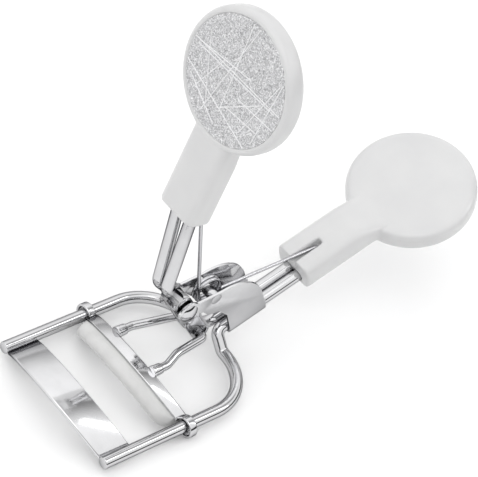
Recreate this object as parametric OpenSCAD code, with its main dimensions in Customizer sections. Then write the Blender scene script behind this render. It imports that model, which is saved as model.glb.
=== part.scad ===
// Eyelash curler: a wire cage with a fixed jaw and a padded jaw that slides on
// its rails, worked by a sprung thumb lever.  Every place is written from the
// rail tips: +X runs from the tips towards the lower handle, +Y to the left,
// +Z up, and z = 0 is the rails' axis.  placed() then moves the whole to its
// origin, under the middle of the object's box.

/* [Cage] */
// Spacing of the two rails, centre to centre
rail_spacing = 34; // [28:0.5:42]
// Thickness of the cage and lever wires
wire_d = 2.6; // [2:0.1:3]
// Distance from the rail tips to the back of the cage
cage_depth = 41; // [40:0.5:50]
// Radius of the cage's two shoulders
shoulder_r = 11.6; // [8:0.2:12]
// Distance in from the handle wires' axis at which each wire starts to climb
climb_run = 3.25; // [3:0.05:3.6]
// Height that each wire climbs from the cage to the handle
climb_rise = 3.4; // [2.6:0.1:4]
// Radius of the tight bend into the handle
neck_bend_r = 1.9; // [1.7:0.1:2.2]
// Radius of the bend where the climb starts
climb_bend_r = 1.8; // [1.5:0.1:2]
// Gap between two wires that run side by side
wire_gap = 0.1; // [0.04:0.02:0.3]

/* [Jaws] */
// Rise of both jaws' middles over their ends
bow_rise = 6.4; // [3:0.1:7.5]
// Distance of both jaws' middles in front of their ends
bow_forward = 3.9; // [0:0.1:5]
// Length of the fixed jaw plate along the rails
plate_depth = 7.5; // [5:0.1:9]
// Thickness of the fixed jaw plate
plate_t = 0.9; // [0.6:0.1:1.2]
// Distance of the fixed jaw plate's ends behind the rail tips
plate_setback = 0.4; // [0:0.1:1]
// Opening between the fixed jaw and the pad when the lever is released
jaw_gap = 9.15; // [9.1:0.05:10]
// Depth of pad that stands out of the channel
pad_reach = 3.05; // [2.4:0.05:4]
// Rounding of the pad's front edges
pad_round = 1.3; // [0.4:0.1:1.3]
// Depth of the channel along the rails
channel_depth = 2.9; // [2.4:0.1:4]
// Height of the channel
channel_h = 4; // [4:0.1:5]
// Thickness of the channel's sheet
channel_t = 0.55; // [0.4:0.05:0.6]
// Height of the channel's top over the rails' axis, at its ends
channel_top = 0.6; // [0.4:0.05:0.9]
// Inner radius of the rolled eyelets over the rail's own radius
eyelet_play = 0.45; // [0.4:0.05:0.6]
// Distance that each eyelet's axis lies outside and below the rail's axis
eyelet_drop = 0.22; // [0.1:0.02:0.25]
// Thickness of the eyelets' rolled sheet
eyelet_t = 0.6; // [0.4:0.05:0.8]
// Length of each eyelet along its rail
eyelet_length = 2.6; // [2:0.1:2.8]

/* [Link] */
// Thickness of the link's wire
link_d = 1.8; // [1.4:0.1:2]
// Distance of each link leg from the middle, at the sliding jaw
link_leg_y = 6; // [5:0.1:7]
// Distance of each link leg from the middle, at the lever
link_end_y = 3.5; // [3.4:0.05:4]
// Height of the link's balls over the rails' axis
link_z = 6.1; // [5.9:0.05:6.4]
// Rise of the link's legs between their two ends
leg_rise = 0.7; // [0:0.1:1.3]
// Radius of the balls on the link's ends
ball_r = 1.15; // [1.1:0.01:1.2]
// Outer radius of the sockets that hold the link's balls
socket_r = 1.6; // [1.55:0.05:1.8]
// Play of the link's leg in the mouth of its socket
mouth_play = 0.16; // [0.14:0.01:0.18]
// Play of the link's cross bar in the lever's end
cross_play = 0.6; // [0.55:0.05:0.65]
// Distance of the cross bar below its hole's middle when the lever is released
cross_sag = 0.48; // [0.4:0.02:0.52]

/* [Lever] */
// Place of the lever's pivot, x and z
pivot = [28.5, 16.2];
// Place of the hole for the link's cross bar on the lever, x and z
cross_hole = [35, 6.8];
// Place of the lever's bend, x and z
lever_bend = [21.5, 24.8];
// Radius of the lever's bend
lever_bend_r = 3; // [2:0.2:5]
// Thickness of the lever wires' flattened ends
strap_t = 1.2; // [0.9:0.1:1.3]
// Radius of the round ends of the flattened wires
strap_r = 2.1; // [2:0.05:2.4]
// Distance between the two flattened ends
strap_gap = 2.2; // [1.8:0.1:2.4]
// Distance from the pivot at which the wires start to flatten
flat_start = 5.2; // [5:0.1:6]

/* [Bracket and pivot] */
// Thickness of the bracket's sheet
bracket_t = 0.55; // [0.4:0.05:0.8]
// Radius of the bracket's eye round the pivot
eye_r = 2.7; // [2.5:0.1:3.2]
// Radius of the pivot rivet's shank
rivet_r = 1; // [0.8:0.05:1.1]
// Radius of the pivot rivet's heads
rivet_head_r = 2.1; // [1.8:0.1:2.4]
// Height of the pivot rivet's heads
rivet_head_h = 0.8; // [0.5:0.1:1]
// Radial clearance of a turning fit
turn_fit = 0.06; // [0.03:0.01:0.1]
// Radial clearance of a fixed fit
seat_fit = 0.02; // [0.01:0.01:0.04]
// Distance along the handle that the bracket hugs the wires
hug_length = 9.4; // [7:0.2:12]

/* [Spring] */
// Thickness of the spring's wire
spring_d = 0.75; // [0.6:0.05:0.9]
// Radius of the spring's coil, to the middle of its wire
coil_r = 2.95; // [2.6:0.05:3.2]
// Place of the coil's axis, x and z
coil_axis = [35.4, 17.2];
// Distance between the coil's turns
coil_pitch = 0.82; // [0.8:0.02:0.95]
// Radius of the pin that carries the coil
spring_pin_r = 1.2; // [1:0.1:1.6]

/* [Grips] */
// Radius of the grips' discs
disc_r = 14.14; // [12:0.1:16]
// Thickness of the grips' discs
disc_t = 4.7; // [4.2:0.1:5.4]
// Rounding of the discs' edges
disc_round = 1.5; // [0.8:0.1:1.6]
// Radius of the glitter inserts
insert_r = 12.67; // [10:0.1:12.8]
// Thickness of the glitter inserts
insert_t = 0.6; // [0.4:0.1:1]
// Depth of the insert's face below the disc's rim
insert_sink = 0.3; // [0.1:0.05:0.5]
// Distance from a disc's centre to the end of its neck
neck_reach = 32.4; // [28:0.2:38]
// Width of the grips' necks
neck_w = 10.1; // [9:0.1:12]
// Thickness of the grips' necks
neck_t = 6.5; // [6.3:0.1:7.5]
// Rounding of the necks' edges
neck_round = 2; // [1:0.1:2.4]
// Distance of the neck's middle from the disc's middle, to the inner side
neck_offset = 1.45; // [1.2:0.05:1.6]
// Length of wire held inside each neck
wire_hold = 14; // [8:0.5:18]
// Width of the slot that holds the spring's leg
slot_w = 1.4; // [1.1:0.1:1.5]
// Length of the slot that holds the spring's leg
slot_length = 7.6; // [6:0.1:10]
// Depth of the slot that holds the spring's leg
slot_depth = 2.2; // [1.6:0.1:2.4]
// Slope of the lower handle over the rails, in degrees
lower_angle = 20.3; // [18:0.1:24]
// Distance from the cage's back to the lower disc's centre, along the handle
lower_reach = 53.8; // [50:0.2:60]
// Slope of the upper handle over the rails, in degrees
upper_angle = 79.3; // [76:0.1:90]
// Place of the upper disc's middle, x and z
upper_disc = [25.6, 78.1];
// Distance of each lever wire from the middle where it enters its grip
lever_spread = 2; // [1.9:0.05:2.2]
// Distance of the lever wires from the upper disc's middle, to the inner side
lever_offset = 1.9; // [1:0.1:2]

/* [Hidden] */
$fn = 64;
wire_r = wire_d / 2;
// A bend is a hair thicker than its straight runs, which reach a little into it
bend_swell = 0.004;
bend_lap = 0.02;
rail_y = rail_spacing / 2;
pair_y = wire_r + wire_gap / 2;

// Directions and places of the two handles
lower_dir = [cos(lower_angle), 0, sin(lower_angle)];
upper_dir = [cos(upper_angle), 0, sin(upper_angle)];
handle_start = [cage_depth, 0, climb_rise];
lower_centre = handle_start + lower_reach * lower_dir;
upper_centre = [upper_disc[0], 0, upper_disc[1]];
lower_entry = lower_centre - neck_reach * lower_dir;
upper_entry = upper_centre - neck_reach * upper_dir;
lever_entry = upper_entry + lever_offset * inner_side(upper_angle, -1);

// Bracket, straps and link
ear_in = pair_y + wire_r + seat_fit;
ear_out = ear_in + bracket_t;
cross_bar = cross_hole - [0, cross_sag];
strap_in = strap_gap / 2;
strap_out = strap_in + strap_t;
link_r = link_d / 2;
cross_hole_r = link_r + cross_play;

// Jaws, which share one bow
bow_half = rail_y - wire_r - seat_fit;
bow_depth = norm([bow_forward, bow_rise]);
bow_r = (bow_half * bow_half + bow_depth * bow_depth) / (2 * bow_depth);
bow_steps = 32;
pad_front = plate_setback + plate_depth + jaw_gap;
channel_front = pad_front + pad_reach;
channel_back = channel_front + channel_depth;
channel_bottom = channel_top - channel_h;
rail_clearance = 0.3;
bar_half = rail_y - wire_r - rail_clearance;
pad_fit = 0.05;
eyelet_r = wire_r + eyelet_play + eyelet_t;
eyelet_y = rail_y + eyelet_drop;
eyelet_start = (channel_front + channel_back - eyelet_length) / 2;

// Link's balls and their sockets, on tabs of the channel's back wall
tab_inner = channel_back - channel_t - bow_forward * bow_share(link_leg_y + socket_r);
tab_face = tab_inner + 0.58;
socket_start = tab_face + seat_fit;
ball_gap = 0.1;
link_x = tab_face + ball_gap + ball_r;
socket_end = link_x + 0.7;
socket_taper = 0.45;

// Origin: under the middle of the object's box
base_z = min(-eyelet_drop - eyelet_r, channel_bottom + bow_rise * bow_share(bar_half));
low_x = plate_setback - bow_forward;
far_x = lower_centre[0] + (disc_r - disc_round) * cos(lower_angle)
      + (disc_t / 2 - disc_round) * sin(lower_angle) + disc_round;
origin = [(low_x + far_x) / 2, 0, base_z];

// Share of the jaws' bow that is left at a distance y from the middle
function bow_share(y) = (sqrt(bow_r * bow_r - y * y) - bow_r + bow_depth) / bow_depth;
function unit(v) = v / norm(v);
function angle_between(a, b) = acos(min(1, max(-1, unit(a) * unit(b))));
// Distance from a corner to the start of its bend
function bend_cut(path, i, radius) =
    radius * tan(angle_between(path[i] - path[i - 1], path[i + 1] - path[i]) / 2);

module placed() {
    translate(-origin) children();
}

module steel() {
    color([0.80, 0.80, 0.82]) placed() children();
}

// Straight round bar from one point to another
module rod(from, to, radius) {
    span = to - from;
    translate(from)
        rotate([0, acos(span[2] / norm(span)), atan2(span[1], span[0])])
            cylinder(h = norm(span), r = radius);
}

// Round bend at point i of a path: a stretch of ring in the plane of the two
// straight runs that meet there
module elbow(path, i, bend_r, radius) {
    before = unit(path[i] - path[i - 1]);
    after = unit(path[i + 1] - path[i]);
    turn = angle_between(before, after);
    normal = unit(cross(before, after));
    inward = cross(normal, before);
    start = path[i] - bend_cut(path, i, bend_r) * before;
    centre = start + bend_r * inward;
    multmatrix([[-inward[0], before[0], normal[0], centre[0]],
                [-inward[1], before[1], normal[1], centre[1]],
                [-inward[2], before[2], normal[2], centre[2]],
                [0, 0, 0, 1]])
        rotate_extrude(angle = turn)
            translate([bend_r, 0]) circle(r = radius + bend_swell);
}

// Bent wire: bends[i] is the bend's radius at point i of the path
module wire(path, bends, radius) {
    last = len(path) - 1;
    for (i = [0 : last - 1]) {
        way = unit(path[i + 1] - path[i]);
        skip = i == 0 ? 0 : bend_cut(path, i, bends[i]) - bend_lap;
        stop = i == last - 1 ? 0 : bend_cut(path, i + 1, bends[i + 1]) - bend_lap;
        rod(path[i] + skip * way, path[i + 1] - stop * way, radius);
    }
    for (i = [1 : last - 1])
        elbow(path, i, bends[i], radius);
}

// Bar with its flat outline in X and Z, between two values of y
module side_plate(low_y, high_y) {
    translate([0, high_y, 0]) rotate([90, 0, 0]) linear_extrude(high_y - low_y) children();
}

// Pin across the object, at a place in X and Z
module cross_pin(place, low_y, high_y, radius) {
    translate([place[0], high_y, place[1]]) rotate([90, 0, 0]) cylinder(h = high_y - low_y, r = radius);
}

// Profile of [x, z] points carried along Y over the jaws' common bow, without
// turning, and cut off square at a distance half to each side; caps lists the
// convex faces that fill the profile
module bowed(profile, half, caps) {
    count = len(profile);
    rings = [for (i = [0 : bow_steps])
        let (y = half * (2 * i / bow_steps - 1), share = bow_share(y))
        for (point = profile) [point[0] - bow_forward * share, y, point[1] + bow_rise * share]];
    walls = [for (i = [0 : bow_steps - 1], k = [0 : count - 1])
        let (n = (k + 1) % count)
        [i * count + k, i * count + n, (i + 1) * count + n, (i + 1) * count + k]];
    first = [for (cap = caps) [for (k = [len(cap) - 1 : -1 : 0]) cap[k]]];
    last = [for (cap = caps) [for (k = cap) bow_steps * count + k]];
    polyhedron(rings, concat(first, last, walls), convexity = 6);
}

// --- Cage -----------------------------------------------------------------

function cage_path(side) =
    [[0, side * rail_y, 0],
     [cage_depth, side * rail_y, 0],
     [cage_depth, side * (pair_y + climb_run), 0],
     [cage_depth, side * pair_y, climb_rise],
     lower_entry + [0, side * pair_y, 0] + wire_hold * lower_dir];

module cage_wire(side) {
    steel() wire(cage_path(side), [0, shoulder_r, climb_bend_r, neck_bend_r, 0], wire_r);
}

module cage_wire_left() {
    cage_wire(1);
}

module cage_wire_right() {
    cage_wire(-1);
}

module fixed_jaw_plate() {
    plate_back = plate_setback + plate_depth;
    steel() bowed([[plate_setback, -plate_t], [plate_back, -plate_t], [plate_back, 0], [plate_setback, 0]],
                  bow_half, [[0, 1, 2, 3]]);
}

// --- Bracket --------------------------------------------------------------

function arc(centre, r, from, to, steps) =
    [for (i = [0 : steps]) let (a = from + (to - from) * i / steps) centre + r * [cos(a), sin(a)]];

module ear_outline() {
    crown = pivot + [10.9, -7.9];
    crown_r = 10.8;
    polygon(concat(
        [pivot + [1.2, -2.7], pivot + [4, -1.4], pivot + [5.9, -3.2], pivot + [8.9, -3.5],
         pivot + [11.9, -6.1], pivot + [14.4, -11.5], pivot + [22.4, -8.8], pivot + [21.8, -5.6]],
        arc(crown, crown_r, 20, 105, 16),
        [pivot + [1, 1.9]]));
    translate(pivot) circle(r = eye_r);
}

module hug_section() {
    hug_r = wire_r + seat_fit + bracket_t;
    rise = 3.5;
    difference() {
        union() {
            for (side = [-1, 1])
                translate([side * pair_y, 0]) circle(r = hug_r);
            translate([-pair_y, -hug_r]) square([2 * pair_y, hug_r]);
            translate([-pair_y - hug_r, 0]) square([2 * (pair_y + hug_r), rise]);
        }
        for (side = [-1, 1])
            translate([side * pair_y, 0]) circle(r = hug_r - bracket_t);
        translate([-pair_y, bracket_t - hug_r]) square([2 * pair_y, rise + hug_r]);
        translate([-ear_in, 0]) square([2 * ear_in, rise + 1]);
    }
}

module frame_bracket() {
    hug_start = handle_start + 2.2 * lower_dir;
    steel() difference() {
        union() {
            for (side = [-1, 1])
                side_plate(side > 0 ? ear_in : -ear_out, side > 0 ? ear_out : -ear_in) ear_outline();
            translate(hug_start) rotate([0, 90 - lower_angle, 0]) rotate([0, 0, 90])
                linear_extrude(hug_length) hug_section();
        }
        cross_pin(pivot, -ear_out - 1, ear_out + 1, rivet_r + seat_fit);
        cross_pin(coil_axis, -ear_out - 1, ear_out + 1, spring_pin_r + seat_fit);
    }
}

module rivet_head() {
    dome_r = (rivet_head_r * rivet_head_r + rivet_head_h * rivet_head_h) / (2 * rivet_head_h);
    rotate_extrude()
        intersection() {
            translate([0, rivet_head_h - dome_r]) circle(r = dome_r, $fn = 180);
            square([rivet_head_r, rivet_head_h]);
        }
}

module pivot_rivet() {
    steel() {
        cross_pin(pivot, -ear_out, ear_out, rivet_r);
        for (side = [-1, 1])
            translate([pivot[0], side * ear_out, pivot[1]]) rotate([-side * 90, 0, 0]) rivet_head();
    }
}

module spring_pin() {
    steel() cross_pin(coil_axis, -ear_out, ear_out, spring_pin_r);
}

// --- Spring ---------------------------------------------------------------

// Slot points where the legs end, in the grips' necks
leg_depth = slot_depth - spring_d / 2 - 0.1;
upper_leg_end = upper_entry + (slot_length - 1) * upper_dir
              + (neck_offset + neck_t / 2 - leg_depth) * inner_side(upper_angle, -1);
lower_leg_end = lower_entry + (slot_length - 1) * lower_dir
              + (neck_offset + neck_t / 2 - leg_depth) * inner_side(lower_angle, 1);
function inner_side(angle, side) = side * [-sin(angle), 0, cos(angle)];
// Angle on the coil at which a leg that ends at a point leaves it; turn is 1
// where the wire goes round the coil with growing angle towards that point
function leave_angle(point, turn) =
    let (reach = [point[0] - coil_axis[0], point[2] - coil_axis[1]])
    atan2(reach[1], reach[0]) - turn * acos(coil_r / norm(reach));
upper_leave = leave_angle(upper_leg_end, -1);
lower_leave = leave_angle(lower_leg_end, 1);
coil_turns = 2;
coil_sweep = 360 * coil_turns + ((lower_leave - upper_leave) % 360 + 360) % 360;
coil_steps = 60;
coil_width = coil_pitch * coil_sweep / 360;
spring_path = concat(
    [upper_leg_end],
    [for (i = [0 : coil_steps])
        let (a = upper_leave + coil_sweep * i / coil_steps)
        [coil_axis[0] + coil_r * cos(a), -coil_width / 2 + coil_width * i / coil_steps,
         coil_axis[1] + coil_r * sin(a)]],
    [lower_leg_end]);

// Round bar swept along a path that never runs along Y
module swept(path, radius, sides) {
    last = len(path) - 1;
    rings = [for (i = [0 : last])
        let (way = unit(path[min(i + 1, last)] - path[max(i - 1, 0)]),
             across = unit(cross([0, 1, 0], way)),
             up = cross(way, across))
        for (k = [0 : sides - 1])
            path[i] + radius * (cos(360 * k / sides) * across + sin(360 * k / sides) * up)];
    walls = [for (i = [0 : last - 1], k = [0 : sides - 1])
        let (n = (k + 1) % sides)
        [i * sides + k, i * sides + n, (i + 1) * sides + n, (i + 1) * sides + k]];
    polyhedron(rings, concat([[for (k = [sides - 1 : -1 : 0]) k]],
                             [[for (k = [0 : sides - 1]) last * sides + k]], walls), convexity = 8);
}

module torsion_spring() {
    steel() swept(spring_path, spring_d / 2, 10);
}

// --- Grips ----------------------------------------------------------------

// One moulding, with its disc's middle at the origin, its neck along -X and
// its glitter face on +Z
module grip_body() {
    disc_half = disc_t / 2;
    difference() {
        union() {
            rotate_extrude($fn = 128) {
                square([disc_r - disc_round, disc_half]);
                translate([0, -disc_half]) square([disc_r - disc_round, disc_half]);
                translate([0, disc_round - disc_half]) square([disc_r, disc_t - 2 * disc_round]);
                for (side = [-1, 1])
                    translate([disc_r - disc_round, side * (disc_half - disc_round)]) circle(r = disc_round);
            }
            translate([-neck_reach, 0, -neck_offset]) rotate([90, 0, 90]) linear_extrude(neck_reach)
                neck_section();
        }
        translate([0, 0, disc_half - insert_sink - insert_t])
            cylinder(h = disc_t, r = insert_r + seat_fit, $fn = 128);
        translate([-neck_reach - 1, -slot_w / 2, -neck_offset - neck_t / 2 - 1])
            cube([slot_length + 1, slot_w, slot_depth + 1]);
    }
}

module neck_section() {
    for (x = [-1, 1], y = [-1, 1])
        translate([x * (neck_w / 2 - neck_round), y * (neck_t / 2 - neck_round)]) circle(r = neck_round);
    square([neck_w - 2 * neck_round, neck_t], center = true);
    square([neck_w, neck_t - 2 * neck_round], center = true);
}

// Holes for the two wires that a neck is moulded round
module wire_holes(entry, way, y) {
    for (side = [-1, 1])
        translate([0, side * y, 0])
            rod(entry - way, entry + (wire_hold + seat_fit) * way, wire_r + seat_fit);
}

module glitter_insert() {
    translate([0, 0, disc_t / 2 - insert_sink - insert_t]) cylinder(h = insert_t, r = insert_r, $fn = 128);
}

// The upper grip's glitter faces up and forward, and the lower one's faces down
module at_upper() {
    translate(upper_centre) rotate([0, -upper_angle, 0]) children();
}

module at_lower() {
    translate(lower_centre) rotate([0, -lower_angle, 0]) mirror([0, 0, 1]) children();
}

module lower_grip() {
    color([0.95, 0.95, 0.95]) placed() difference() {
        at_lower() grip_body();
        wire_holes(lower_entry, lower_dir, pair_y);
    }
}

module lower_glitter_insert() {
    color([0.72, 0.73, 0.75]) placed() at_lower() glitter_insert();
}

module upper_grip() {
    color([0.95, 0.95, 0.95]) placed() difference() {
        at_upper() grip_body();
        wire_holes(lever_entry, upper_dir, lever_spread);
    }
}

module upper_glitter_insert() {
    color([0.72, 0.73, 0.75]) placed() at_upper() glitter_insert();
}

// --- Lever ----------------------------------------------------------------

arm_dir = unit(cross_hole - pivot);
arm_end = pivot - flat_start * arm_dir;

module lever_round(side) {
    wire([lever_entry + wire_hold * upper_dir + [0, side * lever_spread, 0],
          lever_entry - 0.5 * upper_dir + [0, side * lever_spread, 0],
          [lever_bend[0], side * pair_y, lever_bend[1]],
          [arm_end[0], side * pair_y, arm_end[1]]],
         [0, 6, lever_bend_r, 0], wire_r);
}

module strap_outline() {
    reach = norm(cross_hole - pivot);
    translate(pivot) rotate(atan2(arm_dir[1], arm_dir[0])) {
        translate([-flat_start + 1.5, -strap_r]) square([reach + flat_start - 1.5, 2 * strap_r]);
        translate([reach, 0]) circle(r = strap_r);
    }
}

module lever_wire(side) {
    low = side > 0 ? strap_in : -strap_out;
    difference() {
        union() {
            lever_round(side);
            side_plate(low, low + strap_t) strap_outline();
            flattening(side);
        }
        cross_pin(pivot, low - 1, low + strap_t + 1, rivet_r + turn_fit);
        cross_pin(cross_hole, low - 1, low + strap_t + 1, cross_hole_r);
    }
}

// Stretch where the round wire is pressed into the flat strap
module flattening(side) {
    middle = side * (strap_in + strap_out) / 2;
    translate([pivot[0], 0, pivot[1]]) rotate([0, -atan2(arm_dir[1], arm_dir[0]), 0])
        hull() {
            translate([-flat_start - 0.1, side * pair_y, 0]) rotate([0, 90, 0])
                cylinder(h = 0.1, r = (wire_r + bend_swell) / cos(180 / 32), $fn = 32);
            translate([-flat_start + 1.6, middle - strap_t / 2, -strap_r]) cube([0.1, strap_t, 2 * strap_r]);
        }
}

module lever_wire_left() {
    steel() lever_wire(1);
}

module lever_wire_right() {
    steel() lever_wire(-1);
}

module pivot_spacer() {
    steel() difference() {
        cross_pin(pivot, -strap_in + seat_fit, strap_in - seat_fit, rivet_r + 0.7);
        cross_pin(pivot, -strap_in - 1, strap_in + 1, rivet_r + turn_fit);
    }
}

// --- Sliding jaw ----------------------------------------------------------

module on_both_sides() {
    children();
    mirror([0, 1, 0]) children();
}

module crossbar_channel() {
    top_inner = channel_top - channel_t;
    back_inner = channel_back - channel_t;
    bottom_inner = channel_bottom + channel_t;
    steel() {
        bowed([[channel_front, channel_bottom], [channel_back, channel_bottom],
               [channel_back, channel_top], [channel_front, channel_top],
               [channel_front, top_inner], [back_inner, top_inner],
               [back_inner, bottom_inner], [channel_front, bottom_inner]],
              bar_half, [[0, 1, 6, 7], [1, 2, 5, 6], [2, 3, 4, 5]]);
        on_both_sides() {
            translate([tab_inner, link_leg_y, link_z]) rotate([0, 90, 0])
                cylinder(h = tab_face - tab_inner, r = socket_r);
            eyelet();
        }
    }
}

// Rolled eyelet that runs on a rail
module eyelet() {
    translate([eyelet_start, eyelet_y, -eyelet_drop]) rotate([0, 90, 0]) difference() {
        cylinder(h = eyelet_length, r = eyelet_r);
        translate([0, 0, -1]) cylinder(h = eyelet_length + 2, r = eyelet_r - eyelet_t);
    }
}

module silicone_pad() {
    back = channel_back - channel_t - pad_fit;
    low = channel_bottom + channel_t + pad_fit;
    high = channel_top - channel_t - pad_fit;
    nose = pad_front + pad_round;
    nose_steps = 6;
    color([0.97, 0.97, 0.97]) placed()
        bowed(concat([[back, low], [back, high]],
                     arc([nose, high - pad_round], pad_round, 90, 180, nose_steps),
                     arc([nose, low + pad_round], pad_round, 180, 270, nose_steps)),
              eyelet_y - eyelet_r - pad_fit, [[for (k = [0 : 2 * nose_steps + 3]) k]]);
}

// Turned cup: a straight bore for the ball that narrows to the leg's mouth
module link_socket(side) {
    length = socket_end - socket_start;
    bore_r = ball_r + turn_fit;
    steel() translate([socket_start, side * link_leg_y, link_z]) rotate([0, 90, 0])
        rotate_extrude()
            polygon([[bore_r, 0], [socket_r, 0], [socket_r, length],
                     [link_r + mouth_play, length], [bore_r, length - socket_taper]]);
}

module link_socket_left() {
    link_socket(1);
}

module link_socket_right() {
    link_socket(-1);
}

// --- Link -----------------------------------------------------------------

function leg_points(side) =
    [[link_x, side * link_leg_y, link_z],
     [link_x + 2.2, side * link_leg_y, link_z],
     [link_x + 5.6, side * (link_leg_y + link_end_y) / 2, link_z + leg_rise],
     [cross_bar[0], side * link_end_y, cross_bar[1]]];

module link_wire() {
    left = leg_points(1);
    right = leg_points(-1);
    path = [left[0], left[1], left[2], left[3], right[3], right[2], right[1], right[0]];
    steel() {
        wire(path, [0, 2.4, 5, 1.15, 1.15, 5, 2.4, 0], link_r);
        on_both_sides() translate(left[0]) sphere(r = ball_r);
    }
}

cage_wire_left();
cage_wire_right();
fixed_jaw_plate();
frame_bracket();
pivot_rivet();
spring_pin();
torsion_spring();
lower_grip();
lower_glitter_insert();
lever_wire_left();
lever_wire_right();
pivot_spacer();
upper_grip();
upper_glitter_insert();
crossbar_channel();
silicone_pad();
link_socket_left();
link_socket_right();
link_wire();
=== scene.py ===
# %% [markdown]
# # An eyelash curler in polished wire
# The tool is a bent wire cage with a bowed steel jaw at its front, a padded jaw
# that slides on the cage's two rails, a thumb lever and two round flat grips.
# Its moving frame is already built, so this lesson only gives it its
# surface: smooth wires that mirror the room, moulded grips and glitter discs.

# %% Load the frame
import math

import bmesh
import bpy
from mathutils import Matrix, Vector


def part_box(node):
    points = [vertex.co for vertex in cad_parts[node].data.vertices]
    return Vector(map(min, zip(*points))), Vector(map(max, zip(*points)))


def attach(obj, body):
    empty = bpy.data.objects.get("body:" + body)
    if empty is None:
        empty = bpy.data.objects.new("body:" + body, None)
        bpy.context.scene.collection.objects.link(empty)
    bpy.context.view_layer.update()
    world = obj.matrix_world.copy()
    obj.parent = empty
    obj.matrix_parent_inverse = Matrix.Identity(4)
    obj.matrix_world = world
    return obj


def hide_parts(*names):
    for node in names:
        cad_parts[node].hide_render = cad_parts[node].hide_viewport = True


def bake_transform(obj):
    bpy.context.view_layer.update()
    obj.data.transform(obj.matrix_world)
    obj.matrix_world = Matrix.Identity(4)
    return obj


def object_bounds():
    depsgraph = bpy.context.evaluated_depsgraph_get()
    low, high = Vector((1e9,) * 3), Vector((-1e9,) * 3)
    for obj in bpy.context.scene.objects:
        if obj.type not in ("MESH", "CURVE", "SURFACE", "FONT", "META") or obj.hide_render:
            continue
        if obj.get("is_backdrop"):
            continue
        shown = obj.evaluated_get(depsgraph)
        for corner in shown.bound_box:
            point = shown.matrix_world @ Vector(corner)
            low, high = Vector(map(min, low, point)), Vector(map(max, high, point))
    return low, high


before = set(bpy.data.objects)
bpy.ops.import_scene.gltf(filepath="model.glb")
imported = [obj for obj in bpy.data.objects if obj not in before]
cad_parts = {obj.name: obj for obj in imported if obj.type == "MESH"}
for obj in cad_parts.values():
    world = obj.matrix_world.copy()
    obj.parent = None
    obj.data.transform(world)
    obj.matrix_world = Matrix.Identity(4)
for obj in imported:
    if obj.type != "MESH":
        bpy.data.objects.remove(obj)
cad_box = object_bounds()
MM = 0.001
print("nodes in the frame:", len(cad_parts))

# %% [markdown]
# Every place below is written as on the maker's drawing: in millimetres, from
# the rails' tips, on the rails' axis. The frame says where those tips are, so
# nothing has to be fitted by hand.

# %% Sizes from the drawing
WIRE_R = 1.3
RAIL_Y = 17.0
CAGE_DEPTH = 41.0
PLATE_SETBACK, PLATE_DEPTH, PLATE_T = 0.4, 7.5, 0.9
JAW_GAP, PAD_REACH = 9.15, 3.05
CHANNEL_DEPTH, CHANNEL_H, CHANNEL_T, CHANNEL_TOP = 2.9, 4.0, 0.55, 0.6
BOW_RISE, BOW_FORWARD = 6.4, 3.9
SEAT_FIT = 0.02
EYELET_R, EYELET_T, EYELET_DROP, EYELET_LENGTH = 2.35, 0.6, 0.22, 1.8
COIL_AXIS, COIL_R, COIL_PITCH, SPRING_R = Vector((35.4, 0, 17.2)), 2.95, 0.82, 0.375
LOWER_ANGLE, UPPER_ANGLE = math.radians(20.3), math.radians(79.3)
LOWER_DIR = Vector((math.cos(LOWER_ANGLE), 0, math.sin(LOWER_ANGLE)))
UPPER_DIR = Vector((math.cos(UPPER_ANGLE), 0, math.sin(UPPER_ANGLE)))
LOWER_DISC = Vector((CAGE_DEPTH, 0, 3.4)) + 53.8 * LOWER_DIR
UPPER_DISC = Vector((25.6, 0, 78.1))
DISC_T, INSERT_R, INSERT_SINK, INSERT_T = 4.7, 12.67, 0.3, 0.6
NECK_REACH, NECK_OFFSET, NECK_T = 32.4, 1.45, 6.5
SLOT_LENGTH, SLOT_DEPTH = 7.6, 2.2

cage_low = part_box("cage_wire_left")[0]
tips = Vector((cage_low.x, 0, cage_low.z + WIRE_R * MM))
print("rail tips at", [round(v, 4) for v in tips])


def place(point):
    """A point of the drawing, in the frame."""
    return tips + Vector(point) * MM


# %% [markdown]
# A small helper turns lists of points and faces into an object, lets it ride
# on its body and hides the frame's plain solid that it stands in for.

# %% Objects that ride on a body
def ring_faces(rings, count):
    """Faces between rings of as many points each, one after another."""
    return [[i * count + k, i * count + (k + 1) % count, (i + 1) * count + (k + 1) % count,
             (i + 1) * count + k] for i in range(rings - 1) for k in range(count)]


def capped(rings, count):
    """The same, with the first and the last ring closed."""
    last = (rings - 1) * count
    return ring_faces(rings, count) + [list(range(count)), list(range(last, last + count))]


def mesh_object(name, points, faces, smooth_angle=35):
    mesh = bpy.data.meshes.new(name)
    mesh.from_pydata([tuple(p) for p in points], [], faces)
    return finished(name, mesh, smooth_angle)


def finished(name, mesh, smooth_angle=35):
    work = bmesh.new()
    work.from_mesh(mesh)
    bmesh.ops.remove_doubles(work, verts=work.verts, dist=1e-7)
    bmesh.ops.recalc_face_normals(work, faces=work.faces)
    work.to_mesh(mesh)
    work.free()
    mesh.polygons.foreach_set("use_smooth", [True] * len(mesh.polygons))
    mesh.set_sharp_from_angle(angle=math.radians(smooth_angle))
    obj = bpy.data.objects.new(name, mesh)
    bpy.context.scene.collection.objects.link(obj)
    return obj


def seat(obj, body, material, slot, *nodes):
    obj.data.materials.clear()
    obj.data.materials.append(material)
    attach(obj, body)
    if nodes:
        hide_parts(*nodes)
    print(f"{obj.name}: {len(obj.data.polygons)} faces, rides on {body}")
    return obj


def settled(obj):
    """The object with its modifiers made into plain mesh."""
    bpy.context.view_layer.update()
    evaluated = obj.evaluated_get(bpy.context.evaluated_depsgraph_get())
    mesh = bpy.data.meshes.new_from_object(evaluated)
    obj.modifiers.clear()
    obj.data = mesh
    return obj


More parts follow.
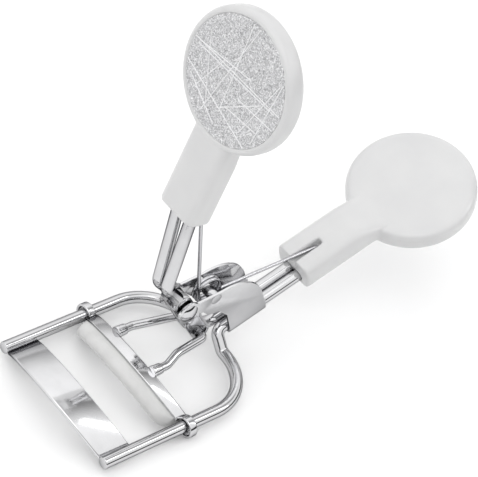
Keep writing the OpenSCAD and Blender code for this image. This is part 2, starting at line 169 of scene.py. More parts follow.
# %% [markdown]
# Shader sums read best as sums. `Value` wraps a socket so that `1 - mask` adds
# the Math node by itself, and `Graph.node` adds any other node in one line.
# The same class builds the Geometry Nodes trees further on.

# %% Node graphs written as expressions
class Value:
    def __init__(self, graph, socket):
        self.graph = graph
        self.socket = socket

    def math(self, operation, *others):
        return self.graph.node("ShaderNodeMath", {"operation": operation}, [self, *others])

    def __add__(self, other):
        return self.math("ADD", other)

    def __sub__(self, other):
        return self.math("SUBTRACT", other)

    def __rsub__(self, other):
        return self.graph.node("ShaderNodeMath", {"operation": "SUBTRACT"}, [other, self])

    def __mul__(self, other):
        return self.math("MULTIPLY", other)

    __radd__ = __add__
    __rmul__ = __mul__


class Graph:
    def __init__(self, tree):
        self.tree = tree

    def node(self, kind, settings=None, sockets=None, output=0):
        made = self.tree.nodes.new(kind)
        for key, value in (settings or {}).items():
            if key == "stops":
                ramp = made.color_ramp
                while len(ramp.elements) < len(value):
                    ramp.elements.new(0.5)
                for element, (position, shade) in zip(ramp.elements, value):
                    element.position = position
                    element.color = (shade, shade, shade, 1) if isinstance(shade, float) else (*shade, 1)
            else:
                setattr(made, key, value)
        pairs = enumerate(sockets) if isinstance(sockets, list) else (sockets or {}).items()
        for key, value in pairs:
            self.feed(made.inputs[key], value)
        return Value(self, made.outputs[output]) if made.outputs else made

    def feed(self, socket, value):
        if isinstance(value, Value):
            self.tree.links.new(value.socket, socket)
        else:
            socket.default_value = value


def material(name, finish):
    made = bpy.data.materials.new(name)
    made.use_nodes = True
    made.node_tree.nodes.clear()
    graph = Graph(made.node_tree)
    surface = graph.node("ShaderNodeBsdfPrincipled")
    graph.node("ShaderNodeOutputMaterial", None, {"Surface": surface})
    finish(graph, surface.socket.node)
    print("finish:", name)
    return made


def object_point(graph):
    return graph.node("ShaderNodeTexCoord", output=3)


def noise(graph, scale, detail=3.0, stretch=(1, 1, 1)):
    point = graph.node("ShaderNodeMapping", {"vector_type": "POINT"},
                       {"Vector": object_point(graph), "Scale": stretch})
    return graph.node("ShaderNodeTexNoise", None, {"Vector": point, "Scale": scale, "Detail": detail})


def bump(graph, shader, height, strength, distance):
    relief = graph.node("ShaderNodeBump", None,
                        {"Height": height, "Strength": strength, "Distance": distance})
    graph.feed(shader.inputs["Normal"], relief)


# %% [markdown]
# Plated wire is a mirror, but never a perfect one: polishing leaves faint
# waves and the plate is a little duller where fingers rub. Noise moves the
# roughness and a very shallow bump bends the reflections.

# %% Bright plate
EDGE_TINT = (0.03, 0.03, 0.035, 1)


def bright_plate(tint, rough, wave):
    def finish(graph, shader):
        shader.inputs["Metallic"].default_value = 1.0
        shader.inputs["Specular Tint"].default_value = EDGE_TINT
        smear = noise(graph, 260.0)
        fine = noise(graph, 2600.0, 2.0)
        shade = graph.node("ShaderNodeValToRGB", {"stops": [
            (0.3, tuple(c * 0.93 for c in tint)), (0.7, tint)]}, {"Fac": smear})
        graph.feed(shader.inputs["Base Color"], shade)
        graph.feed(shader.inputs["Roughness"], rough + smear * 0.05 + fine * 0.03)
        bump(graph, shader, smear + fine * 0.2, wave, 0.0001)
    return finish


chrome = material("bright_plate", bright_plate((0.64, 0.64, 0.65), 0.03, 0.05))
pressed = material("pressed_plate", bright_plate((0.72, 0.72, 0.73), 0.07, 0.12))
spring_steel = material("spring_wire", bright_plate((0.62, 0.62, 0.64), 0.12, 0.08))

# %% [markdown]
# The grips are thick white mouldings: light goes in a little way, so a trace
# of subsurface softens the shade, and a clear coat gives the satin gloss. The
# silicone strip is the same white, but soft and without a coat.

# %% White moulding and silicone
def moulding(graph, shader):
    cloud = noise(graph, 120.0)
    skin = noise(graph, 1800.0, 4.0)
    tone = graph.node("ShaderNodeValToRGB", {"stops": [
        (0.25, (0.60, 0.60, 0.605)), (0.75, (0.64, 0.64, 0.64))]}, {"Fac": cloud})
    graph.feed(shader.inputs["Base Color"], tone)
    graph.feed(shader.inputs["Roughness"], 0.26 + cloud * 0.10)
    shader.inputs["Subsurface Weight"].default_value = 0.12
    shader.inputs["Subsurface Radius"].default_value = (0.003, 0.003, 0.003)
    shader.inputs["Coat Weight"].default_value = 0.25
    shader.inputs["Coat Roughness"].default_value = 0.18
    bump(graph, shader, skin + cloud, 0.10, 0.0001)


def silicone_skin(graph, shader):
    cloud = noise(graph, 300.0)
    dust = noise(graph, 3200.0, 5.0)
    tone = graph.node("ShaderNodeValToRGB", {"stops": [
        (0.3, (0.58, 0.58, 0.575)), (0.7, (0.64, 0.64, 0.635))]}, {"Fac": cloud})
    graph.feed(shader.inputs["Base Color"], tone)
    graph.feed(shader.inputs["Roughness"], 0.42 + dust * 0.2)
    shader.inputs["Subsurface Weight"].default_value = 0.2
    shader.inputs["Subsurface Radius"].default_value = (0.002, 0.002, 0.002)
    bump(graph, shader, dust, 0.15, 0.00008)


white = material("white_moulding", moulding)
silicone = material("silicone", silicone_skin)

# %% [markdown]
# The discs are inlaid with glitter sheet. Its ground is a dull silver whose
# grains differ in shade and tilt, one Voronoi cell to a grain; the loose
# flakes that catch the light are real little plates, scattered further on.

# %% Glitter sheet
def glitter(graph, shader):
    grain = graph.node("ShaderNodeTexVoronoi", {"feature": "F1"},
                       {"Vector": object_point(graph), "Scale": 5200.0}, output=1)
    patch = noise(graph, 900.0, 4.0)
    level = graph.node("ShaderNodeSeparateColor", None, {"Color": grain})
    shade = graph.node("ShaderNodeValToRGB", {"stops": [
        (0.0, (0.30, 0.30, 0.31)), (0.55, (0.55, 0.55, 0.56)), (1.0, (0.95, 0.95, 0.96))]},
        {"Fac": level * 0.8 + patch * 0.25})
    graph.feed(shader.inputs["Base Color"], shade)
    graph.feed(shader.inputs["Metallic"], 0.35 + level * 0.4)
    graph.feed(shader.inputs["Roughness"], 0.55 - level * 0.25)
    bump(graph, shader, level, 0.5, 0.00006)


def foil(graph, shader):
    grain = noise(graph, 4200.0, 2.0)
    graph.feed(shader.inputs["Base Color"],
               graph.node("ShaderNodeValToRGB", {"stops": [
                   (0.3, (0.74, 0.74, 0.75)), (0.7, (0.96, 0.96, 0.97))]}, {"Fac": grain}))
    graph.feed(shader.inputs["Roughness"], 0.3 + grain * 0.3)
    shader.inputs["Metallic"].default_value = 0.3
    bump(graph, shader, grain, 0.4, 0.00005)


glitter_sheet = material("glitter_sheet", glitter)
foil_line = material("foil_line", foil)
flake = material("glitter_flake", bright_plate((0.86, 0.86, 0.88), 0.15, 0.1))

# %% [markdown]
# The lever's wires, the pins and the bracket already have their true shape in
# the frame, as loose triangles. A copy is merged, its flat faces are made whole, and a hair
# of bevel takes the knife edge off so that every rim draws a line of light.

# %% Refined copies of the solid pieces
def refined(node, body, finish, slot, bevel=0.0, smooth_angle=32):
    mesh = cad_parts[node].data.copy()
    obj = finished(node + "_skin", mesh, smooth_angle)
    if bevel:
        work = bmesh.new()
        work.from_mesh(mesh)
        bmesh.ops.dissolve_limit(work, angle_limit=math.radians(0.4), verts=work.verts, edges=work.edges)
        work.to_mesh(mesh)
        work.free()
        edge = obj.modifiers.new("edge", "BEVEL")
        edge.width = bevel * MM
        edge.segments = 3
        edge.limit_method = "ANGLE"
        edge.angle_limit = math.radians(40)
        edge.harden_normals = False
        edge.use_clamp_overlap = True
        settled(obj)
        obj.data.polygons.foreach_set("use_smooth", [True] * len(obj.data.polygons))
        obj.data.set_sharp_from_angle(angle=math.radians(smooth_angle))
    return seat(obj, body, finish, slot, node)


for node in ("lever_wire_left", "lever_wire_right"):
    refined(node, "lever", chrome, "chrome", bevel=0.12)

SMALL = {"pivot_rivet": "frame", "spring_pin": "frame", "pivot_spacer": "lever"}
for node, body in SMALL.items():
    refined(node, body, chrome, "chrome", bevel=0.06)

refined("frame_bracket", "frame", pressed, "chrome", bevel=0.1)

# %% [markdown]
# The cage and the link are bent from round wire, so each is one tube swept
# along its own centre line: straight runs joined by true arcs. The cross
# direction is carried along from ring to ring, which keeps the tube from
# twisting in the bends, and the radius follows the distance from the wire's
# end, so that the same sweep cuts a rounded tip or swells into a small ball.

# %% Wires bent from a line of corners
def bent(corners, radii, steps=16):
    """Corners joined by straight runs, with an arc of its own radius at each inner one."""
    line = [Vector(corners[0])]
    for before, here, after, radius in zip(corners, corners[1:], corners[2:], radii):
        here = Vector(here)
        back, ahead = (Vector(before) - here).normalized(), (Vector(after) - here).normalized()
        half_angle = back.angle(ahead) / 2
        cut = radius / math.tan(half_angle)
        middle = here + (back + ahead).normalized() * radius / math.sin(half_angle)
        start, end = here + back * cut - middle, here + ahead * cut - middle
        axis = start.cross(end).normalized()
        turn = start.angle(end)
        line += [middle + Matrix.Rotation(turn * k / steps, 3, axis) @ start for k in range(steps + 1)]
    line.append(Vector(corners[-1]))
    return line


def fine_ends(line, reach=1.2, steps=24):
    """Extra points near both ends, where the radius changes."""
    def fine_end(end, inner):
        share = reach / (inner - end).length
        return [end.lerp(inner, share * k / steps) for k in range(steps + 1)]

    return fine_end(line[0], line[1]) + line[1:-1] + fine_end(line[-1], line[-2])[::-1]


def swept_wire(name, line, radius_at, sides=28):
    runs = [0.0]
    for before, here in zip(line, line[1:]):
        runs.append(runs[-1] + (here - before).length)
    points = []
    last = len(line) - 1
    across = Vector((0.31, 0.42, 0.85))
    for i, centre in enumerate(line):
        way = (line[min(i + 1, last)] - line[max(i - 1, 0)]).normalized()
        across = (across - across.dot(way) * way).normalized()
        up = way.cross(across)
        radius = radius_at(min(runs[i], runs[-1] - runs[i]))
        for k in range(sides):
            a = 2 * math.pi * k / sides
            points.append(place(centre + radius * (math.cos(a) * across + math.sin(a) * up)))
    return mesh_object(name, points, capped(len(line), sides), 50)


# %% Cage wires
PAIR_Y, CLIMB_Y, CLIMB_Z, GRIP_HOLD = 1.35, 4.6, 3.4, 14.0
SHOULDER_R, CLIMB_R, NECK_R = 11.6, 1.8, 1.9
TIP_ROUND = 0.22
lower_entry = LOWER_DISC - NECK_REACH * LOWER_DIR


def rounded_tip(run):
    inside = max(0.0, TIP_ROUND - run)
    return WIRE_R - TIP_ROUND + math.sqrt(TIP_ROUND ** 2 - inside ** 2)


for side, word in ((1, "left"), (-1, "right")):
    held = lower_entry + GRIP_HOLD * LOWER_DIR
    corners = [(0, side * RAIL_Y, 0), (CAGE_DEPTH, side * RAIL_Y, 0), (CAGE_DEPTH, side * CLIMB_Y, 0),
               (CAGE_DEPTH, side * PAIR_Y, CLIMB_Z), (held.x, side * PAIR_Y, held.z)]
    wire = swept_wire("cage_bent_wire_" + word,
                      fine_ends(bent(corners, (SHOULDER_R, CLIMB_R, NECK_R))), rounded_tip, 36)
    seat(wire, "frame", chrome, "chrome", "cage_wire_" + word)

# %% Link wire
LINK_R, BALL_R = 0.9, 1.03
LINK_X, LINK_Y, LINK_Z = 21.154, 6.0, 6.1
link_side = [(LINK_X - BALL_R, LINK_Y, LINK_Z), (LINK_X + 2.2, LINK_Y, LINK_Z),
             (LINK_X + 5.6, 4.75, LINK_Z + 0.7), (35.0, 3.5, 6.32)]


def ball_end(run):
    if run >= 2 * BALL_R:
        return LINK_R
    ball = math.sqrt(max(0.0, BALL_R ** 2 - (BALL_R - run) ** 2))
    return max(ball, 0.02) if run < BALL_R else max(ball, LINK_R)


LINK_BENDS = (2.4, 5.0, 1.15)
BALL_REACH = 1.9
corners = link_side + [(x, -y, z) for x, y, z in reversed(link_side)]
link_line = fine_ends(bent(corners, LINK_BENDS + LINK_BENDS[::-1]), BALL_REACH)
link = swept_wire("link_bent_wire", link_line, ball_end)
seat(link, "link", chrome, "chrome", "link_wire")

# %% [markdown]
# A moulded grip has no hard edge anywhere: the thick neck melts into the thin
# disc. A voxel remesh gives the solid copy an even skin, the part of the neck
# that stands proud of the disc is let down towards the middle, and a few
# rounds of smoothing leave the mould's soft corners.

# %% Moulded grips
VOXEL = 0.3
SMOOTHING = 14
FADE_START, FADE_END = 19.0, 9.0


def inner_side(direction, sign):
    return sign * Vector((-direction.z, 0, direction.x))


def moulded(node, body, disc, direction, inner):
    obj = finished(node + "_moulded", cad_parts[node].data.copy())
    skin = obj.modifiers.new("skin", "REMESH")
    skin.mode = "VOXEL"
    skin.voxel_size = VOXEL * MM
    settled(obj)
    middle = place(disc)
    for vertex in obj.data.vertices:
        from_middle = (vertex.co - middle) / MM
        proud = from_middle.dot(inner) - DISC_T / 2
        towards_neck = -from_middle.dot(direction)
        if proud > 0 and towards_neck < FADE_START:
            share = max(0.0, (towards_neck - FADE_END) / (FADE_START - FADE_END))
            keep = share * share * (3 - 2 * share)
            vertex.co -= (1 - keep) * proud * MM * inner
    soft = obj.modifiers.new("soft", "SMOOTH")
    soft.factor = 0.5
    soft.iterations = SMOOTHING
    settled(obj)
    obj.data.polygons.foreach_set("use_smooth", [True] * len(obj.data.polygons))
    return seat(obj, body, white, "white_moulding", node)


moulded("upper_grip", "lever", UPPER_DISC, UPPER_DIR, inner_side(UPPER_DIR, -1))
moulded("lower_grip", "frame", LOWER_DISC, LOWER_DIR, inner_side(LOWER_DIR, 1))

# %% [markdown]
# Both jaws share one bow: the middle stands higher and further forward than
# the ends. A section is carried along that bow without turning, in far finer
# steps than the working solid has, because a mirror finish shows every facet.

# %% Sections carried along the jaws' bow
BOW_HALF = RAIL_Y - WIRE_R - SEAT_FIT
BOW_DEPTH = math.hypot(BOW_RISE, BOW_FORWARD)
BOW_R = (BOW_HALF ** 2 + BOW_DEPTH ** 2) / (2 * BOW_DEPTH)
PAD_FRONT = PLATE_SETBACK + PLATE_DEPTH + JAW_GAP
CHANNEL_FRONT = PAD_FRONT + PAD_REACH
CHANNEL_BACK = CHANNEL_FRONT + CHANNEL_DEPTH
CHANNEL_BOTTOM = CHANNEL_TOP - CHANNEL_H
BAR_HALF = RAIL_Y - WIRE_R - 0.3


def bow_share(y):
    return (math.sqrt(BOW_R ** 2 - y ** 2) - BOW_R + BOW_DEPTH) / BOW_DEPTH


def rounded(corners, steps=4):
    """A section of (x, z, radius) corners, each rounded with its radius."""
    outline = []
    count = len(corners)
    for i, (x, z, radius) in enumerate(corners):
        here = Vector((x, z))
        before = (Vector(corners[i - 1][:2]) - here).normalized()
        after = (Vector(corners[(i + 1) % count][:2]) - here).normalized()
        if radius <= 0:
            outline.append(here)
            continue
        half_angle = before.angle(after) / 2
        cut = radius / math.tan(half_angle)
        middle = here + (before + after).normalized() * radius / math.sin(half_angle)
        start = here + before * cut - middle
        turn = start.angle_signed(here + after * cut - middle)
        for k in range(steps + 1):
            outline.append(middle + Matrix.Rotation(-turn * k / steps, 2) @ start)
    return outline


def carried(name, section_at, half, steps=180):
    """section_at(y) gives the section at y, always with as many points."""
    points = []
    for i in range(steps + 1):
        y = half * math.cos(math.pi * (1 - i / steps))
        share = bow_share(y)
        section = section_at(y)
        count = len(section)
        points += [place((p[0] - BOW_FORWARD * share, y, p[1] + BOW_RISE * share)) for p in section]
    return mesh_object(name, points, capped(steps + 1, count))


# %% Fixed jaw plate
plate_back = PLATE_SETBACK + PLATE_DEPTH
plate_section = rounded([(PLATE_SETBACK, -PLATE_T, 0.2), (plate_back, -PLATE_T, 0.2),
                         (plate_back, 0, 0.3), (PLATE_SETBACK, 0, 0.3)])
plate = carried("jaw_plate_polished", lambda y: plate_section, BOW_HALF)
seat(plate, "frame", pressed, "chrome", "fixed_jaw_plate")

# %% [markdown]
# The sliding jaw is a strip of sheet folded into a channel, and its ends are
# rolled into eyelets round the rails. The curls don't quite close, which is
# how the sheet's edge comes to show beside each rail.

# %% Channel and eyelets
inner_top, inner_bottom = CHANNEL_TOP - CHANNEL_T, CHANNEL_BOTTOM + CHANNEL_T
inner_back = CHANNEL_BACK - CHANNEL_T
channel_section = rounded([
    (CHANNEL_FRONT, CHANNEL_BOTTOM, 0.15), (CHANNEL_BACK, CHANNEL_BOTTOM, 0.55),
    (CHANNEL_BACK, CHANNEL_TOP, 0.55), (CHANNEL_FRONT, CHANNEL_TOP, 0.15),
    (CHANNEL_FRONT, inner_top, 0.1), (inner_back, inner_top, 0.1),
    (inner_back, inner_bottom, 0.1), (CHANNEL_FRONT, inner_bottom, 0.1)])
channel = carried("channel_polished", lambda y: channel_section, BAR_HALF)


def eyelet(side, opening=52, steps=44):
    """Open curl of sheet, extruded along the rail with rounded rims."""
    start_x = (CHANNEL_FRONT + CHANNEL_BACK - EYELET_LENGTH) / 2
    middle_r = EYELET_R - EYELET_T / 2
    half_t, half_l = EYELET_T / 2, EYELET_LENGTH / 2
    rim = 0.45 * EYELET_T
    section = rounded([(-half_l, -half_t, rim), (half_l, -half_t, rim),
                       (half_l, half_t, rim), (-half_l, half_t, rim)])
    points = []
    sweep = 360 - opening
    for i in range(steps + 1):
        angle = math.radians(150 - sweep * i / steps)
        for along, out in section:
            r = middle_r + out
            points.append(place((start_x + half_l + along,
                                 side * (RAIL_Y + EYELET_DROP + r * math.cos(angle)),
                                 -EYELET_DROP + r * math.sin(angle))))
    return mesh_object("eyelet_curl_" + ("left" if side > 0 else "right"), points,
                       capped(steps + 1, len(section)))


def turned(name, profile, y, z, sides=48):
    """Closed (x, radius) profile turned about an axis along x."""
    count = len(profile)
    points = [(p[0], y + p[1] * math.cos(a), z + p[1] * math.sin(a))
              for a in (2 * math.pi * k / sides for k in range(sides)) for p in profile]
    faces = [[k * count + i, k * count + (i + 1) % count,
              (k + 1) % sides * count + (i + 1) % count, (k + 1) % sides * count + i]
             for k in range(sides) for i in range(count)]
    return mesh_object(name, [place(p) for p in points], faces)


seat(channel, "slider", pressed, "chrome", "crossbar_channel")
for side in (1, -1):
    seat(eyelet(side), "slider", chrome, "chrome")

# %% [markdown]
# The link hangs in two small cups on the channel's back wall. A cup is turned:
# a flange against the wall, a bore for the ball and a lip rolled in over it.

# %% Link cups
cup_low, cup_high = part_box("link_socket_left")
cup_start = (cup_low - tips).x / MM
cup_end = (cup_high - tips).x / MM - 0.35
CUP_R, CUP_BORE, CUP_MOUTH, TAB_T = 1.22, 1.1, 1.02, 0.7
cup_profile = rounded([
    (cup_start, CUP_BORE, 0.05), (cup_end - 0.3, CUP_BORE, 0.05), (cup_end, CUP_MOUTH, 0.08),
    (cup_end, CUP_R - 0.08, 0.14), (cup_start, CUP_R, 0.1)])
tab_profile = rounded([(cup_start - TAB_T, 0.01, 0), (cup_start - 0.01, 0.01, 0),
                       (cup_start - 0.01, CUP_R + 0.04, 0.1), (cup_start - TAB_T, CUP_R + 0.04, 0.1)])
for side, word in ((1, "left"), (-1, "right")):
    cup = turned("link_cup_" + word, cup_profile, side * LINK_Y, LINK_Z)
    seat(cup, "slider", chrome, "chrome", "link_socket_" + word)
    seat(turned("link_tab_" + word, tab_profile, side * LINK_Y, LINK_Z), "slider", pressed, "chrome")

# %% [markdown]
# The pad is a strip of silicone pressed into the channel. Its nose is nearly
# half round and its two ends are rounded off as seen from above, so the
# section's reach shrinks over the last few millimetres.

# %% Silicone pad
PAD_FIT = 0.05
PAD_HALF = RAIL_Y + EYELET_DROP - EYELET_R - PAD_FIT
PAD_CORNER = 2.6


def pad_section(y):
    over = max(0.0, abs(y) - (PAD_HALF - PAD_CORNER)) / PAD_CORNER
    reach = PAD_REACH * math.sqrt(max(0.0, 1 - 0.92 * over ** 2.4))
    front = CHANNEL_FRONT - reach
    back = inner_back - PAD_FIT
    low, high = inner_bottom + PAD_FIT, inner_top - PAD_FIT
    nose = 1.38
    return rounded([(front, low, nose), (back, low, 0.1), (back, high, 0.1), (front, high, nose)], 10)


pad = carried("pad_soft", pad_section, PAD_HALF)
seat(pad, "slider", silicone, "silicone", "silicone_pad")

# %% [markdown]
# The spring is one wire: a leg from the upper grip, a little over two turns round
# its pin and a leg to the lower grip. The coil stays with the frame and the
# upper leg must follow the lever, but this mesh is one fixed piece, built in
# the rest pose and riding on no body.

# %% Spring
def leg_end(disc, direction, sign):
    entry = disc - NECK_REACH * direction
    depth = NECK_OFFSET + NECK_T / 2 - (SLOT_DEPTH - SPRING_R - 0.1)
    return entry + (SLOT_LENGTH - 1) * direction + depth * inner_side(direction, sign)


def leave_angle(point, turn):
    reach = point - COIL_AXIS
    return math.atan2(reach.z, reach.x) - turn * math.acos(COIL_R / reach.length)


upper_end = leg_end(UPPER_DISC, UPPER_DIR, -1)
lower_end = leg_end(LOWER_DISC, LOWER_DIR, 1)
upper_leave, lower_leave = leave_angle(upper_end, -1), leave_angle(lower_end, 1)
sweep = 4 * math.pi + (lower_leave - upper_leave) % (2 * math.pi)
width = COIL_PITCH * sweep / (2 * math.pi)
COIL_STEPS = 150
coil = [COIL_AXIS + Vector((COIL_R * math.cos(upper_leave + sweep * t), width * (t - 0.5),
                            COIL_R * math.sin(upper_leave + sweep * t)))
        for t in (i / COIL_STEPS for i in range(COIL_STEPS + 1))]
LEG_STEPS = 24
upper_leg = [upper_end.lerp(coil[0], i / LEG_STEPS) for i in range(LEG_STEPS)]
lower_leg = [coil[-1].lerp(lower_end, (i + 1) / LEG_STEPS) for i in range(LEG_STEPS)]
route = upper_leg + coil + lower_leg


spring = swept_wire("spring_wire", route, lambda run: SPRING_R, 18)
spring.data.materials.append(spring_steel)
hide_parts("torsion_spring")
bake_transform(spring)
print("spring_wire:", len(spring.data.polygons), "faces, blended from frame to lever")

# %% [markdown]
# Glitter comes in three layers: the grey sheet, thin foil lines laid across
# it at all angles, and loose flakes. Lines and flakes both repeat, so each is
# a Geometry Nodes tree with its sizes as named inputs.

# %% Glitter discs
def disc_frame(disc, direction, sign):
    """Place of an insert: its middle, the handle's way, the cross way and outwards."""
    out = inner_side(direction, sign)
    return disc + (DISC_T / 2 - INSERT_SINK) * out, direction, Vector((0, 1, 0)), out


def sheet_disc(name, where, sides=128):
    middle, along, across, out = where
    radii = [INSERT_R, INSERT_R, INSERT_R - 0.08, INSERT_R * 0.6, INSERT_R * 0.2]
    depths = [-INSERT_T, -0.08, 0, 0, 0]
    points = []
    for radius, depth in zip(radii, depths):
        for k in range(sides):
            a = 2 * math.pi * k / sides
            across_disc = radius * (math.cos(a) * along + math.sin(a) * across)
            points.append(place(middle + across_disc + depth * out))
    return mesh_object(name, points, capped(len(radii), sides))


def tree_with(name, inputs):
    tree = bpy.data.node_groups.new(name, "GeometryNodeTree")
    tree.interface.new_socket("Geometry", in_out="INPUT", socket_type="NodeSocketGeometry")
    for label, kind in inputs.items():
        tree.interface.new_socket(label, in_out="INPUT", socket_type=kind)
    tree.interface.new_socket("Geometry", in_out="OUTPUT", socket_type="NodeSocketGeometry")
    return tree, Graph(tree)


def grown(obj, tree, settings):
    """Runs a tree on an object with its named inputs set, and keeps the plain mesh."""
    modifier = obj.modifiers.new("grow", "NODES")
    modifier.node_group = tree
    for item in tree.interface.items_tree:
        if item.in_out == "INPUT" and item.name in settings:
            modifier[item.identifier] = settings[item.name]
    return settled(obj)


# %% Foil lines
line_tree, lines = tree_with("foil_lines", {"Width": "NodeSocketFloat", "Height": "NodeSocketFloat",
                                            "Finish": "NodeSocketMaterial"})
source = lines.tree.nodes.new("NodeGroupInput")
inputs = {s.name: Value(lines, s) for s in source.outputs if s.name}
curve = lines.node("GeometryNodeMeshToCurve", None, {"Mesh": inputs["Geometry"]})
profile = lines.node("GeometryNodeCurvePrimitiveQuadrilateral", {"mode": "RECTANGLE"},
                     {"Width": inputs["Width"], "Height": inputs["Height"]})
ribbon = lines.node("GeometryNodeCurveToMesh", None,
                    {"Curve": curve, "Profile Curve": profile, "Fill Caps": True})
real = lines.node("GeometryNodeRealizeInstances", None, {"Geometry": ribbon})
coated = lines.node("GeometryNodeSetMaterial", None, {"Geometry": real, "Material": inputs["Finish"]})
lines.node("NodeGroupOutput", None, {"Geometry": coated})

# Each line: its angle from the handle's way, its distance from the middle,
# and how far it runs to each side as a share of the disc's chord
LINES = [(-90, 1.3, -1.0, 1.0), (-89, 0.7, -0.9, 0.9), (-84, 2.4, -0.9, 0.3), (74, 6.8, -1.0, 1.0),
         (-23, 4.4, -0.9, 0.1), (-12, 2.1, -0.9, 1.0), (24, 6.9, -0.7, 0.8), (3, 0.7, -0.6, 1.0),
         (-50, -4.7, -0.4, 0.5), (-4, -9.7, -0.9, 1.0), (-86, -5.6, 0.0, 0.8), (63, 9.4, -0.5, 0.8),
         (-88, -2.4, 0.2, 1.0), (-16, -7.6, -0.6, 0.9)]


def foil_lines(name, where):
    middle, along, across, out = where
    points, edges = [], []
    for degrees, offset, start, end in LINES:
        angle = math.radians(degrees)
        way = math.cos(angle) * along + math.sin(angle) * across
        beside = -math.sin(angle) * along + math.cos(angle) * across
        chord = math.sqrt((INSERT_R - 0.3) ** 2 - offset ** 2)
        for share in (start, end):
            points.append(place(middle + offset * beside + share * chord * way + 0.01 * out))
        edges.append((len(points) - 2, len(points) - 1))
    mesh = bpy.data.meshes.new(name)
    mesh.from_pydata([tuple(p) for p in points], edges, [])
    obj = bpy.data.objects.new(name, mesh)
    bpy.context.scene.collection.objects.link(obj)
    return grown(obj, line_tree, {"Width": 0.2 * MM, "Height": 0.2 * MM, "Finish": foil_line})


# %% Loose flakes
flake_tree, scatter = tree_with("loose_flakes", {
    "Density": "NodeSocketFloat", "Size": "NodeSocketFloat",
    "Seed": "NodeSocketInt", "Finish": "NodeSocketMaterial"})
source = scatter.tree.nodes.new("NodeGroupInput")
inputs = {s.name: Value(scatter, s) for s in source.outputs if s.name}
spots = scatter.tree.nodes.new("GeometryNodeDistributePointsOnFaces")
scatter.feed(spots.inputs["Mesh"], inputs["Geometry"])
scatter.feed(spots.inputs["Density"], inputs["Density"])
scatter.feed(spots.inputs["Seed"], inputs["Seed"])
flake_shape = scatter.node("GeometryNodeMeshCircle", {"fill_type": "TRIANGLE_FAN"},
                         {"Vertices": 5, "Radius": inputs["Size"]})
tilt = scatter.node("FunctionNodeRandomValue", {"data_type": "FLOAT_VECTOR"},
                    {"Min": (-0.5, -0.5, 0.0), "Max": (0.5, 0.5, 6.28), "Seed": inputs["Seed"]})
size = scatter.node("FunctionNodeRandomValue", {"data_type": "FLOAT"},
                    {2: 0.45, 3: 1.0, "Seed": 7}, output=1)
laid = scatter.tree.nodes.new("GeometryNodeInstanceOnPoints")
scatter.feed(laid.inputs["Points"], Value(scatter, spots.outputs["Points"]))
scatter.feed(laid.inputs["Instance"], flake_shape)
scatter.feed(laid.inputs["Rotation"], Value(scatter, spots.outputs["Rotation"]))
scatter.feed(laid.inputs["Scale"], size)
turned = scatter.node("GeometryNodeRotateInstances", None,
                      {"Instances": Value(scatter, laid.outputs["Instances"]), "Rotation": tilt})
real = scatter.node("GeometryNodeRealizeInstances", None, {"Geometry": turned})
coated = scatter.node("GeometryNodeSetMaterial", None, {"Geometry": real, "Material": inputs["Finish"]})
scatter.node("NodeGroupOutput", None, {"Geometry": coated})


def flakes(name, where, seed):
    middle, along, across, out = where
    sides = 48
    centre = middle + 0.05 * out
    reach = INSERT_R - 0.5
    turns = [2 * math.pi * k / sides for k in range(sides)]
    points = [place(centre + reach * (math.cos(a) * along + math.sin(a) * across)) for a in turns]
    mesh = bpy.data.meshes.new(name)
    mesh.from_pydata([tuple(p) for p in points], [], [list(range(sides))])
    if mesh.polygons[0].normal.dot(out) < 0:
        mesh.flip_normals()
    obj = bpy.data.objects.new(name, mesh)
    bpy.context.scene.collection.objects.link(obj)
    return grown(obj, flake_tree, {"Density": 1.2e7, "Size": 0.1 * MM, "Seed": seed, "Finish": flake})


DISCS = {"upper": (UPPER_DISC, UPPER_DIR, 1, "lever", 3),
         "lower": (LOWER_DISC, LOWER_DIR, -1, "frame", 8)}
for label, (disc, direction, sign, body, seed) in DISCS.items():
    where = disc_frame(disc, direction, sign)
    seat(sheet_disc(label + "_glitter_sheet", where), body, glitter_sheet, "glitter",
         label + "_glitter_insert")
    seat(foil_lines(label + "_foil_lines", where), body, foil_line, "glitter")
    seat(flakes(label + "_glitter_flakes", where, seed), body, flake, "glitter")

# %% [markdown]
# The stage is a pale floor in a white studio. Bright plate only shows its
# shape when it has something dark to mirror, so the room has a dark band low
# on one side and a dark card overhead, in front of the jaws.

# %% Floor, room and lights
floor_mesh = bpy.data.meshes.new("floor")
FLOOR = 4.0
floor_z = cad_box[0][2]
floor_mesh.from_pydata([(-FLOOR, -FLOOR, floor_z), (FLOOR, -FLOOR, floor_z), (FLOOR, FLOOR, floor_z),
                        (-FLOOR, FLOOR, floor_z)], [], [[0, 1, 2, 3]])
floor = bpy.data.objects.new("floor", floor_mesh)
bpy.context.scene.collection.objects.link(floor)


def floor_paint(graph, shader):
    shader.inputs["Base Color"].default_value = (0.93, 0.93, 0.93, 1)
    shader.inputs["Roughness"].default_value = 0.9
    shader.inputs["Specular IOR Level"].default_value = 0.1


floor.data.materials.append(material("floor_paint", floor_paint))
floor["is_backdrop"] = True

world = bpy.data.worlds.new("studio")
bpy.context.scene.world = world
world.use_nodes = True
world.node_tree.nodes.clear()
room = Graph(world.node_tree)
ray = room.node("ShaderNodeTexCoord", output=0)
across = room.node("ShaderNodeSeparateXYZ", None, {"Vector": ray}, output=1)
height = room.node("ShaderNodeSeparateXYZ", None, {"Vector": ray}, output=2)
sky = room.node("ShaderNodeValToRGB", {"stops": [
    (0.0, 0.9), (0.50, 0.9), (0.53, 0.55), (0.72, 1.0), (1.0, 1.2)]}, {"Fac": height * 0.5 + 0.5})
low_band = room.node("ShaderNodeValToRGB", {"stops": [
    (0.49, 0.0), (0.505, 1.0), (0.62, 1.0), (0.67, 0.0)]}, {"Fac": height * 0.5 + 0.5})
near_side = room.node("ShaderNodeValToRGB", {"stops": [(0.5, 1.0), (0.6, 0.0)]},
                      {"Fac": across * 0.5 + 0.5})
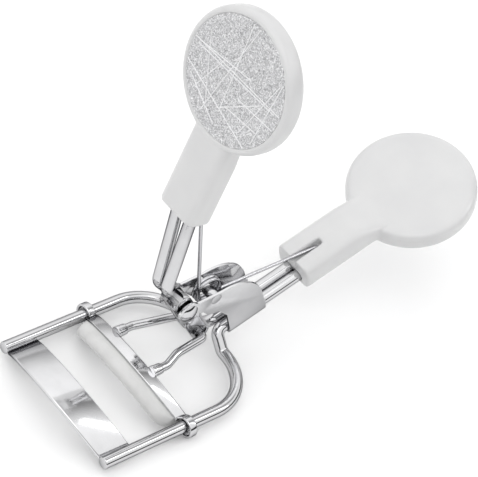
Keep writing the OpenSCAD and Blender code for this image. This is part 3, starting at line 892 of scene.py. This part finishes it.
card_ends = room.node("ShaderNodeValToRGB", {"stops": [
    (0.30, 0.0), (0.42, 0.35), (0.535, 0.85), (0.54, 0.4), (0.635, 0.3), (0.64, 0.0)]},
    {"Fac": across * 0.5 + 0.5})
above = room.node("ShaderNodeValToRGB", {"stops": [(0.80, 0.0), (0.83, 1.0)]},
                  {"Fac": height * 0.5 + 0.5})
ahead = room.node("ShaderNodeSeparateXYZ", None, {"Vector": ray})
in_front = room.node("ShaderNodeValToRGB", {"stops": [(0.60, 0.0), (0.66, 1.0)]},
                     {"Fac": ahead * 0.5 + 0.5})
card = card_ends * above * in_front
dark = (low_band * near_side).math("MAXIMUM", card)
CARD_SHADE = (0.03, 0.03, 0.03, 1)
walls = room.node("ShaderNodeMix", {"data_type": "RGBA"}, {0: dark, 6: sky, 7: CARD_SHADE}, output=2)
back = room.node("ShaderNodeBackground", None, {"Color": walls, "Strength": 1.12})
room.node("ShaderNodeOutputWorld", None, {"Surface": back})


def soft_light(name, where, target, size, power):
    light = bpy.data.lights.new(name, "AREA")
    light.shape = "RECTANGLE"
    light.size, light.size_y = size
    light.energy = power
    obj = bpy.data.objects.new(name, light)
    obj.location = where
    obj.rotation_euler = (Vector(target) - Vector(where)).to_track_quat("-Z", "Y").to_euler()
    bpy.context.scene.collection.objects.link(obj)


centre = (Vector(cad_box[0]) + Vector(cad_box[1])) / 2
soft_light("key", centre + Vector((-0.35, -0.15, 0.7)), centre, (0.6, 0.6), 1.0)
soft_light("fill", centre + Vector((0.5, -0.35, 0.6)), centre, (0.08, 0.5), 0.5)
bpy.context.scene.view_settings.view_transform = "Standard"

# %% [markdown]
# A long lens looks down on the jaws from in front, as a catalogue picture
# would, and the tool runs away from it to the upper right.

# %% Camera
CAMERA_AT = Vector((-259.9, -232.7, 378.1))
LOOK_AT = Vector((34.1, -4.6, 36.7))
CAMERA_UP = Vector((0.308, 0.647, 0.698))

lens = bpy.data.cameras.new("camera")
lens.lens = 193.7
lens.sensor_width = 36
lens.clip_start = 0.01
lens.dof.use_dof = False
camera = bpy.data.objects.new("camera", lens)
bpy.context.scene.collection.objects.link(camera)
bpy.context.scene.camera = camera
behind = (CAMERA_AT - LOOK_AT).normalized()
right = CAMERA_UP.cross(behind).normalized()
turned = Matrix((right, behind.cross(right), behind)).transposed()
camera.matrix_world = Matrix.Translation(place(CAMERA_AT)) @ turned.to_4x4()
print("camera at", [round(v, 3) for v in camera.location])

# %% [markdown]
# Last, the dressed tool's box is printed beside the bare frame's. The
# surface may not make it any larger.

# %% Sizes and finish
dressed_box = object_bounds()
sizes = {"frame": [list(corner) for corner in cad_box],
         "dressed": [list(corner) for corner in dressed_box]}
for label, (low, high) in sizes.items():
    print(label, [round((b - a) * 1000, 2) for a, b in zip(low, high)], "mm")
